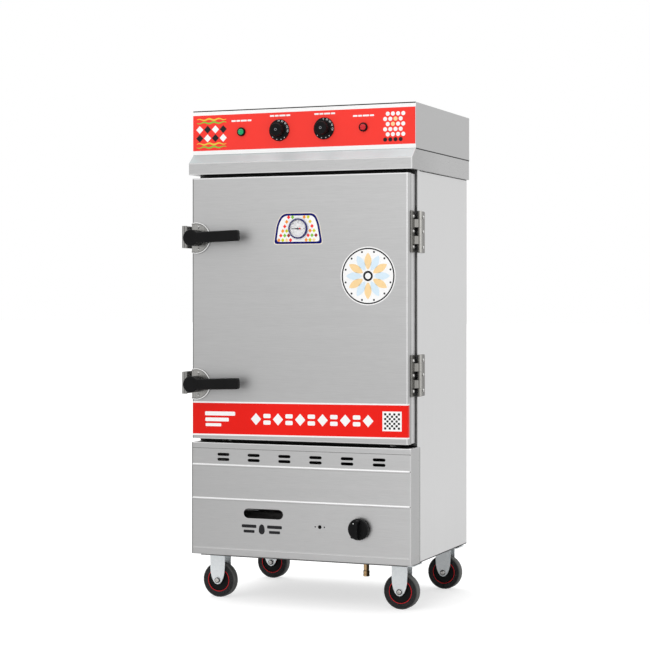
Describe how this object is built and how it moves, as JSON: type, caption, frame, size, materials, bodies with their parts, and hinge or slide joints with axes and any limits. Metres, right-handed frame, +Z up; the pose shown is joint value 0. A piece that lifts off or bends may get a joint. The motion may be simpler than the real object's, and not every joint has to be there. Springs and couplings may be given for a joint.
{
  "type": "rice steamer cabinet",
  "caption": "Tall stainless steam cabinet for rice trays, with a lever-latched insulated door, control head, gas burner under a water tank, and fixed casters.",
  "frame": {"origin": "the floor plane, under the middle of the cabinet's footprint", "axes": "+Z up; +X to the right as seen from the front, where the hinges are; +Y to the back, so the door faces -Y"},
  "size_m": [0.7348, 0.6211, 1.4811],
  "materials": {
    "shell_steel": "satin",
    "frame_steel": "satin",
    "chamber_steel": "satin",
    "tray_steel": "satin",
    "head_steel": "satin",
    "canopy_steel": "satin",
    "lower_panel_steel": "satin",
    "door_steel": "satin",
    "pan_steel": "satin",
    "base_steel": "satin",
    "hinge_steel": "satin",
    "latch_steel": "satin",
    "handle_black": "satin",
    "knob_black": "satin",
    "fork_zinc": "satin",
    "wheel_rubber": "matte",
    "burner_steel": "matte",
    "pipe_steel": "satin",
    "valve_brass": "satin",
    "foam": "matte",
    "gasket_rubber": "matte",
    "panel_red": "satin",
    "lamp_green": "gloss",
    "lamp_red": "gloss",
    "switch_body": "matte",
    "thermometer_chrome": "polished",
    "thermometer_glass": "gloss",
    "needle_red": "satin"
  },
  "bodies": {
    "cabinet": {"body_shell": "shell_steel", "back_panel": "shell_steel", "front_frame": "frame_steel", "chamber_liner": "chamber_steel", "water_tank": "chamber_steel", "tray_rack_left": "chamber_steel", "tray_rack_right": "chamber_steel", "rice_tray_1": "tray_steel", "rice_tray_2": "tray_steel", "rice_tray_3": "tray_steel", "rice_tray_4": "tray_steel", "rice_tray_5": "tray_steel", "rice_tray_6": "tray_steel", "control_box_cover": "head_steel", "canopy": "canopy_steel", "lower_front_panel": "lower_panel_steel", "base_frame": "base_steel", "hinge_body_leaf_upper": "hinge_steel", "hinge_body_leaf_lower": "hinge_steel", "latch_keeper_upper": "latch_steel", "latch_keeper_lower": "latch_steel", "caster_fork_front_left": "fork_zinc", "caster_fork_front_right": "fork_zinc", "caster_fork_rear_left": "fork_zinc", "caster_fork_rear_right": "fork_zinc", "gas_burner": "burner_steel", "heating_elements": "burner_steel", "drain_pipe": "pipe_steel", "steam_vent_pipe": "pipe_steel", "gas_valve": "valve_brass", "gas_inlet_nipple": "valve_brass", "insulation_jacket": "foam", "control_panel": "panel_red", "pilot_lamp_green": "lamp_green", "pilot_lamp_red": "lamp_red", "thermostat_body": "switch_body", "timer_body": "switch_body", "cable_gland": "switch_body"},
    "door": {"door_skin": "door_steel", "door_pan": "pan_steel", "door_core": "foam", "door_gasket": "gasket_rubber", "thermometer_case": "thermometer_chrome", "thermometer_lens": "thermometer_glass", "hinge_door_leaf_upper": "hinge_steel", "hinge_door_leaf_lower": "hinge_steel", "latch_flange_upper": "latch_steel", "latch_flange_lower": "latch_steel"},
    "latch_upper": {"latch_handle_upper": "handle_black"},
    "latch_lower": {"latch_handle_lower": "handle_black"},
    "thermostat_dial": {"thermostat_knob": "knob_black"},
    "timer_dial": {"timer_knob": "knob_black"},
    "gas_spindle": {"gas_stem": "valve_brass"},
    "gas_dial": {"gas_knob": "knob_black"},
    "needle": {"thermometer_needle": "needle_red"},
    "wheel_front_left": {"caster_wheel_front_left": "wheel_rubber"},
    "wheel_front_right": {"caster_wheel_front_right": "wheel_rubber"},
    "wheel_rear_left": {"caster_wheel_rear_left": "wheel_rubber"},
    "wheel_rear_right": {"caster_wheel_rear_right": "wheel_rubber"}
  },
  "joints": [
    {"name": "door_hinge", "type": "hinge", "parent": "cabinet", "child": "door", "pos_m": [0.36135, -0.19595, 0.4891], "axis": [0, 0, 1], "range_deg": [0, 180]},
    {"name": "latch_upper_turn", "type": "hinge", "parent": "door", "child": "latch_upper", "pos_m": [-0.32585, -0.26705, 1.0938], "axis": [0, 1, 0], "range_deg": [0, 90]},
    {"name": "latch_lower_turn", "type": "hinge", "parent": "door", "child": "latch_lower", "pos_m": [-0.32585, -0.26705, 0.6537], "axis": [0, 1, 0], "range_deg": [0, 90]},
    {"name": "thermostat_turn", "type": "hinge", "parent": "cabinet", "child": "thermostat_dial", "pos_m": [-0.06835, -0.23055, 1.4133], "axis": [0, 1, 0], "range_deg": [0, 300]},
    {"name": "timer_turn", "type": "hinge", "parent": "cabinet", "child": "timer_dial", "pos_m": [0.07565, -0.23055, 1.4133], "axis": [0, 1, 0], "range_deg": [0, 300]},
    {"name": "gas_turn", "type": "hinge", "parent": "cabinet", "child": "gas_spindle", "pos_m": [0.19765, -0.25345, 0.2395], "axis": [0, -1, 0], "range_deg": [0, 90]},
    {"name": "gas_push", "type": "slide", "parent": "gas_spindle", "child": "gas_dial", "axis": [0, 1, 0], "range_m": [0, 0.005], "stiffness_N_per_m": 500, "springref_m": -0.003},
    {"name": "needle_turn", "type": "hinge", "parent": "door", "child": "needle", "pos_m": [0.00715, -0.26585, 1.1175], "axis": [0, 1, 0], "range_deg": [-45, 225]},
    {"name": "wheel_front_left_spin", "type": "hinge", "parent": "cabinet", "child": "wheel_front_left", "pos_m": [-0.29085, -0.17005, 0.0526], "axis": [0, 1, 0], "continuous": true},
    {"name": "wheel_front_right_spin", "type": "hinge", "parent": "cabinet", "child": "wheel_front_right", "pos_m": [0.29815, -0.17005, 0.0526], "axis": [0, 1, 0], "continuous": true},
    {"name": "wheel_rear_left_spin", "type": "hinge", "parent": "cabinet", "child": "wheel_rear_left", "pos_m": [-0.29085, 0.23245, 0.0526], "axis": [0, 1, 0], "continuous": true},
    {"name": "wheel_rear_right_spin", "type": "hinge", "parent": "cabinet", "child": "wheel_rear_right", "pos_m": [0.29815, 0.23245, 0.0526], "axis": [0, 1, 0], "continuous": true}
  ]
}
